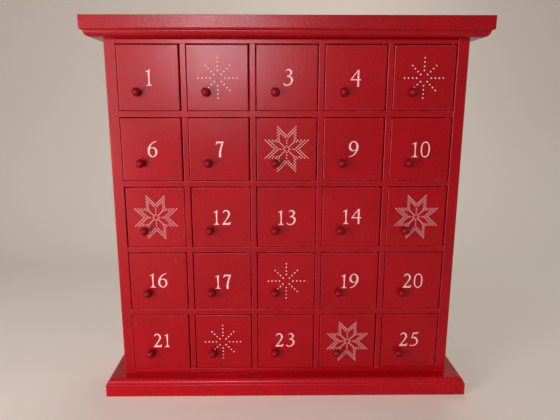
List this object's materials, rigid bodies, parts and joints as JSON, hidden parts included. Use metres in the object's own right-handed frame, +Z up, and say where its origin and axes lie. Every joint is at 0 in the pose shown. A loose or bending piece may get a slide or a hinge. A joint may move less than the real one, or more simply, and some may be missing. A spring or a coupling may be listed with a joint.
{
  "type": "wooden advent calendar cabinet",
  "caption": "Painted wooden advent cabinet: a moulded crown and base, a grid of compartments, and small inset doors on pin hinges with ball knobs.",
  "frame": {"origin": "middle of the base board's underside, at the centre of the bounding box", "axes": "+Z up, -Y out of the doors' front, +X to the right as seen from the front"},
  "size_m": [0.3792, 0.0866, 0.3811],
  "materials": {
    "red_paint": "satin red paint on wood",
    "knob_paint": "glossy dark red paint on turned wood",
    "steel_pin": "plain steel",
    "back_board": "bare hardboard"
  },
  "bodies": {
    "case": {"side_left": "red_paint", "side_right": "red_paint", "case_ends": "red_paint", "shelves": "red_paint", "dividers": "red_paint", "crown_board": "red_paint", "base_board": "red_paint", "back_panel": "back_board", "hinge_pins": "steel_pin", "door_stops": "red_paint"},
    "door_01": {"door_01": "red_paint", "knob_01": "knob_paint"},
    "door_02": {"door_02": "red_paint", "knob_02": "knob_paint"},
    "door_03": {"door_03": "red_paint", "knob_03": "knob_paint"},
    "door_04": {"door_04": "red_paint", "knob_04": "knob_paint"},
    "door_05": {"door_05": "red_paint", "knob_05": "knob_paint"},
    "door_06": {"door_06": "red_paint", "knob_06": "knob_paint"},
    "door_07": {"door_07": "red_paint", "knob_07": "knob_paint"},
    "door_08": {"door_08": "red_paint", "knob_08": "knob_paint"},
    "door_09": {"door_09": "red_paint", "knob_09": "knob_paint"},
    "door_10": {"door_10": "red_paint", "knob_10": "knob_paint"},
    "door_11": {"door_11": "red_paint", "knob_11": "knob_paint"},
    "door_12": {"door_12": "red_paint", "knob_12": "knob_paint"},
    "door_13": {"door_13": "red_paint", "knob_13": "knob_paint"},
    "door_14": {"door_14": "red_paint", "knob_14": "knob_paint"},
    "door_15": {"door_15": "red_paint", "knob_15": "knob_paint"},
    "door_16": {"door_16": "red_paint", "knob_16": "knob_paint"},
    "door_17": {"door_17": "red_paint", "knob_17": "knob_paint"},
    "door_18": {"door_18": "red_paint", "knob_18": "knob_paint"},
    "door_19": {"door_19": "red_paint", "knob_19": "knob_paint"},
    "door_20": {"door_20": "red_paint", "knob_20": "knob_paint"},
    "door_21": {"door_21": "red_paint", "knob_21": "knob_paint"},
    "door_22": {"door_22": "red_paint", "knob_22": "knob_paint"},
    "door_23": {"door_23": "red_paint", "knob_23": "knob_paint"},
    "door_24": {"door_24": "red_paint", "knob_24": "knob_paint"},
    "door_25": {"door_25": "red_paint", "knob_25": "knob_paint"}
  },
  "joints": [
    {"name": "door_01_hinge", "type": "hinge", "parent": "case", "child": "door_01", "pos_m": [-0.1065, -0.0245, 0.32675], "axis": [0, 0, 1], "range_deg": [0, 95]},
    {"name": "door_02_hinge", "type": "hinge", "parent": "case", "child": "door_02", "pos_m": [-0.0404, -0.0245, 0.32675], "axis": [0, 0, 1], "range_deg": [0, 95]},
    {"name": "door_03_hinge", "type": "hinge", "parent": "case", "child": "door_03", "pos_m": [0.026, -0.0245, 0.32675], "axis": [0, 0, 1], "range_deg": [0, 95]},
    {"name": "door_04_hinge", "type": "hinge", "parent": "case", "child": "door_04", "pos_m": [0.09175, -0.0245, 0.32675], "axis": [0, 0, 1], "range_deg": [0, 95]},
    {"name": "door_05_hinge", "type": "hinge", "parent": "case", "child": "door_05", "pos_m": [0.1577, -0.0245, 0.32675], "axis": [0, 0, 1], "range_deg": [0, 95]},
    {"name": "door_06_hinge", "type": "hinge", "parent": "case", "child": "door_06", "pos_m": [-0.1065, -0.0245, 0.25865], "axis": [0, 0, 1], "range_deg": [0, 95]},
    {"name": "door_07_hinge", "type": "hinge", "parent": "case", "child": "door_07", "pos_m": [-0.0405, -0.0245, 0.25865], "axis": [0, 0, 1], "range_deg": [0, 95]},
    {"name": "door_08_hinge", "type": "hinge", "parent": "case", "child": "door_08", "pos_m": [0.0259, -0.0245, 0.25865], "axis": [0, 0, 1], "range_deg": [0, 95]},
    {"name": "door_09_hinge", "type": "hinge", "parent": "case", "child": "door_09", "pos_m": [0.0916, -0.0245, 0.25865], "axis": [0, 0, 1], "range_deg": [0, 95]},
    {"name": "door_10_hinge", "type": "hinge", "parent": "case", "child": "door_10", "pos_m": [0.1576, -0.0245, 0.25865], "axis": [0, 0, 1], "range_deg": [0, 95]},
    {"name": "door_11_hinge", "type": "hinge", "parent": "case", "child": "door_11", "pos_m": [-0.1057, -0.0245, 0.19055], "axis": [0, 0, 1], "range_deg": [0, 95]},
    {"name": "door_12_hinge", "type": "hinge", "parent": "case", "child": "door_12", "pos_m": [-0.0397, -0.0245, 0.19055], "axis": [0, 0, 1], "range_deg": [0, 95]},
    {"name": "door_13_hinge", "type": "hinge", "parent": "case", "child": "door_13", "pos_m": [0.0262, -0.0245, 0.19055], "axis": [0, 0, 1], "range_deg": [0, 95]},
    {"name": "door_14_hinge", "type": "hinge", "parent": "case", "child": "door_14", "pos_m": [0.0917, -0.0245, 0.19055], "axis": [0, 0, 1], "range_deg": [0, 95]},
    {"name": "door_15_hinge", "type": "hinge", "parent": "case", "child": "door_15", "pos_m": [0.1576, -0.0245, 0.19055], "axis": [0, 0, 1], "range_deg": [0, 95]},
    {"name": "door_16_hinge", "type": "hinge", "parent": "case", "child": "door_16", "pos_m": [-0.1061, -0.0245, 0.12245], "axis": [0, 0, 1], "range_deg": [0, 95]},
    {"name": "door_17_hinge", "type": "hinge", "parent": "case", "child": "door_17", "pos_m": [-0.0399, -0.0245, 0.12245], "axis": [0, 0, 1], "range_deg": [0, 95]},
    {"name": "door_18_hinge", "type": "hinge", "parent": "case", "child": "door_18", "pos_m": [0.0262, -0.0245, 0.12245], "axis": [0, 0, 1], "range_deg": [0, 95]},
    {"name": "door_19_hinge", "type": "hinge", "parent": "case", "child": "door_19", "pos_m": [0.0918, -0.0245, 0.12245], "axis": [0, 0, 1], "range_deg": [0, 95]},
    {"name": "door_20_hinge", "type": "hinge", "parent": "case", "child": "door_20", "pos_m": [0.1579, -0.0245, 0.12245], "axis": [0, 0, 1], "range_deg": [0, 95]},
    {"name": "door_21_hinge", "type": "hinge", "parent": "case", "child": "door_21", "pos_m": [-0.1064, -0.0245, 0.05435], "axis": [0, 0, 1], "range_deg": [0, 95]},
    {"name": "door_22_hinge", "type": "hinge", "parent": "case", "child": "door_22", "pos_m": [-0.0401, -0.0245, 0.05435], "axis": [0, 0, 1], "range_deg": [0, 95]},
    {"name": "door_23_hinge", "type": "hinge", "parent": "case", "child": "door_23", "pos_m": [0.0259, -0.0245, 0.05435], "axis": [0, 0, 1], "range_deg": [0, 95]},
    {"name": "door_24_hinge", "type": "hinge", "parent": "case", "child": "door_24", "pos_m": [0.0917, -0.0245, 0.05435], "axis": [0, 0, 1], "range_deg": [0, 95]},
    {"name": "door_25_hinge", "type": "hinge", "parent": "case", "child": "door_25", "pos_m": [0.158, -0.0245, 0.05435], "axis": [0, 0, 1], "range_deg": [0, 95]}
  ]
}
